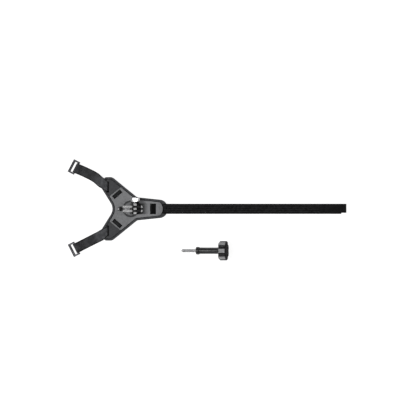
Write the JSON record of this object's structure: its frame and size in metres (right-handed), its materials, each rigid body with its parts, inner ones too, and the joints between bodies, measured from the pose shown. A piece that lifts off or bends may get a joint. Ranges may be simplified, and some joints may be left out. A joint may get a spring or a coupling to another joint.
{
  "type": "helmet strap camera mount",
  "caption": "Three-armed strap mount with rubber pad, stiff plate, rotating camera fork, webbing arms with buckles, long hook-and-loop strap and a separate locking thumb screw.",
  "frame": {"origin": "on the turntable's axis, in the plane of the pad's underside", "axes": "+X runs along the long strap, +Z points out of the helmet, and the two webbing arms reach towards -X"},
  "size_m": [0.4097, 0.1486, 0.0299],
  "materials": {
    "rubber_liner": "matt",
    "pad_rubber": "matt",
    "plate_plastic": "fine grain",
    "cover_rubber": "matt",
    "arm_webbing": "woven",
    "hook_and_loop": "napped",
    "buckle_metal": "gloss",
    "black_plastic": "satin",
    "turntable_plastic": "fine grain",
    "steel": "bright",
    "nut_chrome": "bright",
    "nylon": "matt"
  },
  "bodies": {
    "base": {"liner": "rubber_liner", "base_pad": "pad_rubber", "top_plate": "plate_plastic", "lobe_cover_upper": "cover_rubber", "lobe_cover_lower": "cover_rubber", "arm_anchor_upper": "arm_webbing", "arm_anchor_lower": "arm_webbing", "arm_lap_upper": "arm_webbing", "arm_lap_lower": "arm_webbing", "strap_root": "hook_and_loop", "friction_washer": "nylon", "plate_screws": "steel"},
    "swivel": {"turntable": "turntable_plastic", "swivel_ring": "steel", "swivel_screw": "steel", "camera_fork": "black_plastic", "fork_nut": "nut_chrome", "fork_screws": "steel"},
    "lock": {"lock_slider": "black_plastic", "lock_pip": "steel"},
    "arm_upper": {"arm_strap_upper": "arm_webbing", "arm_end_upper": "arm_webbing"},
    "arm_lower": {"arm_strap_lower": "arm_webbing", "arm_end_lower": "arm_webbing"},
    "ring_upper": {"buckle_upper": "buckle_metal"},
    "ring_lower": {"buckle_lower": "buckle_metal"},
    "strap": {"strap_near": "hook_and_loop"},
    "strap_tip": {"strap_far": "hook_and_loop", "hook_tab": "hook_and_loop"},
    "locking_screw": {"screw_stud": "steel", "screw_collar": "black_plastic", "screw_barrel": "black_plastic", "screw_knob": "black_plastic", "knob_cap": "black_plastic"}
  },
  "joints": [
    {"name": "swivel_turn", "type": "hinge", "parent": "base", "child": "swivel", "pos_m": [0, 0, 0.008], "axis": [0, 0, 1], "continuous": true},
    {"name": "lock_slide", "type": "slide", "parent": "base", "child": "lock", "axis": [1, 0, 0], "range_m": [0, 0.0009]},
    {"name": "arm_upper_flex", "type": "hinge", "parent": "base", "child": "arm_upper", "pos_m": [-0.0433, 0.0389, 0.0058], "axis": [0.4067, 0.9135, 0], "range_deg": [-60, 90]},
    {"name": "arm_lower_flex", "type": "hinge", "parent": "base", "child": "arm_lower", "pos_m": [-0.0433, -0.0389, 0.0058], "axis": [-0.4067, 0.9135, 0], "range_deg": [-60, 90]},
    {"name": "buckle_upper_tilt", "type": "hinge", "parent": "arm_upper", "child": "ring_upper", "pos_m": [-0.08, 0.0597, 0.0026], "axis": [0.4617, 0.887, 0], "range_deg": [-70, 140]},
    {"name": "buckle_lower_tilt", "type": "hinge", "parent": "arm_lower", "child": "ring_lower", "pos_m": [-0.0799, -0.0576, 0.0026], "axis": [-0.454, 0.891, 0], "range_deg": [-70, 140]},
    {"name": "strap_root_flex", "type": "hinge", "parent": "base", "child": "strap", "pos_m": [0.0552, 0, 0.006], "axis": [0, -1, 0], "range_deg": [-60, 90]},
    {"name": "strap_fold", "type": "hinge", "parent": "strap", "child": "strap_tip", "pos_m": [0.2, 0, 0.0018], "axis": [0, -1, 0], "range_deg": [0, 165]},
    {"name": "screw_lift", "type": "slide", "parent": "base", "child": "locking_screw", "axis": [0, 0, 1], "range_m": [0, 0.15]}
  ]
}
